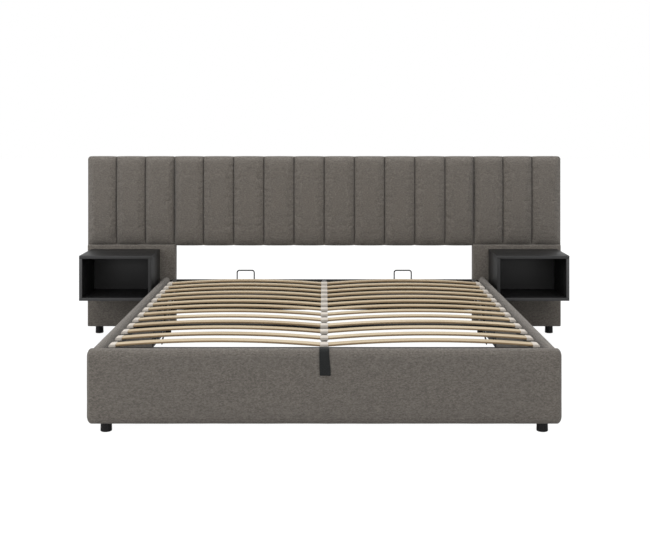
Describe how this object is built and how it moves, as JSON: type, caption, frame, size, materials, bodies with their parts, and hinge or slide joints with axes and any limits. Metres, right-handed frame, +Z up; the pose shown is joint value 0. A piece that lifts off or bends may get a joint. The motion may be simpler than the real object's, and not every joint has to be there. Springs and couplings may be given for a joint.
{
  "type": "storage bed with nightstands",
  "caption": "Upholstered lift-up storage bed with bowed slats, a wide channelled headboard and open nightstands hung on its wings.",
  "frame": {"origin": "on the floor, at the middle of the bed's outline in plan", "axes": "+X to the right seen from the foot, +Y towards the headboard, +Z up"},
  "size_m": [2.994, 2.2228, 1.122],
  "materials": {
    "upholstery": "heathered taupe-grey woven polyester",
    "nightstand_board": "black wood-effect laminate with a fine grain",
    "black_board": "black painted board",
    "black_steel": "black powder coat",
    "bright_steel": "zinc plated",
    "foot_plastic": "black moulded plastic",
    "cap_plastic": "light beige-grey moulded plastic",
    "webbing": "black woven webbing",
    "birch": "clear-lacquered birch plywood"
  },
  "bodies": {
    "bedstead": {"headboard_centre_board": "upholstery", "headboard_centre_pad": "upholstery", "left_wing_board": "upholstery", "left_wing_pad": "upholstery", "right_wing_board": "upholstery", "right_wing_pad": "upholstery", "head_crossboard": "black_board", "headboard_plates": "black_steel", "left_rail": "upholstery", "right_rail": "upholstery", "footboard": "upholstery", "rest_brackets": "black_steel", "corner_brackets": "black_steel", "frame_bolts": "bright_steel", "front_feet": "foot_plastic", "wing_feet": "foot_plastic", "left_nightstand_top": "nightstand_board", "left_nightstand_bottom": "nightstand_board", "left_nightstand_inner_side": "nightstand_board", "left_nightstand_outer_side": "nightstand_board", "left_nightstand_back": "nightstand_board", "right_nightstand_top": "nightstand_board", "right_nightstand_bottom": "nightstand_board", "right_nightstand_inner_side": "nightstand_board", "right_nightstand_outer_side": "nightstand_board", "right_nightstand_back": "nightstand_board", "nightstand_brackets": "black_steel", "base_plates": "black_steel", "base_pivot_pins": "bright_steel"},
    "lift_arms": {"left_lift_arm": "black_steel", "right_lift_arm": "black_steel"},
    "control_arms": {"left_control_arm": "black_steel", "right_control_arm": "black_steel"},
    "platform": {"side_tubes": "black_steel", "end_tubes": "black_steel", "centre_tube": "black_steel", "cross_tubes": "black_steel", "platform_plates": "black_steel", "platform_pivot_pins": "bright_steel", "mattress_retainers": "black_steel", "lift_strap": "webbing", "outer_slat_caps": "cap_plastic", "centre_slat_caps": "cap_plastic", "slat_row_01": "birch", "slat_row_02": "birch", "slat_row_03": "birch", "slat_row_04": "birch", "slat_row_05": "birch", "slat_row_06": "birch", "slat_row_07": "birch", "slat_row_08": "birch", "slat_row_09": "birch", "slat_row_10": "birch", "slat_row_11": "birch", "slat_row_12": "birch", "slat_row_13": "birch"},
    "strut_cylinders": {"left_strut_cylinder": "black_steel", "right_strut_cylinder": "black_steel"},
    "strut_rods": {"left_strut_rod": "bright_steel", "right_strut_rod": "bright_steel"}
  },
  "joints": [
    {"name": "platform_lift", "type": "hinge", "parent": "bedstead", "child": "lift_arms", "pos_m": [0, 0.594, 0.265], "axis": [1, 0, 0], "range_deg": [0, 47.88]},
    {"name": "platform_tilt", "type": "hinge", "parent": "lift_arms", "child": "platform", "pos_m": [0, 0.791, 0.31], "axis": [1, 0, 0], "range_deg": [-92.89, 0]},
    {"name": "control_arm_swing", "type": "hinge", "parent": "bedstead", "child": "control_arms", "pos_m": [0, 0.348, 0.09], "axis": [1, 0, 0], "range_deg": [0, 28.01]},
    {"name": "strut_foot_swing", "type": "hinge", "parent": "bedstead", "child": "strut_cylinders", "pos_m": [0, 0.67253, 0.07881], "axis": [1, 0, 0], "range_deg": [0, 23.95]},
    {"name": "strut_head_swing", "type": "hinge", "parent": "lift_arms", "child": "strut_rods", "pos_m": [0, 0.791, 0.31], "axis": [1, 0, 0], "range_deg": [-23.95, 0]}
  ],
  "couplings": [
    {"joint": "platform_tilt", "follows": "platform_lift", "ratio": -1.9399},
    {"joint": "control_arm_swing", "follows": "platform_lift", "ratio": 0.58479},
    {"joint": "strut_foot_swing", "follows": "platform_lift", "ratio": 0.5},
    {"joint": "strut_head_swing", "follows": "platform_lift", "ratio": -0.5}
  ]
}
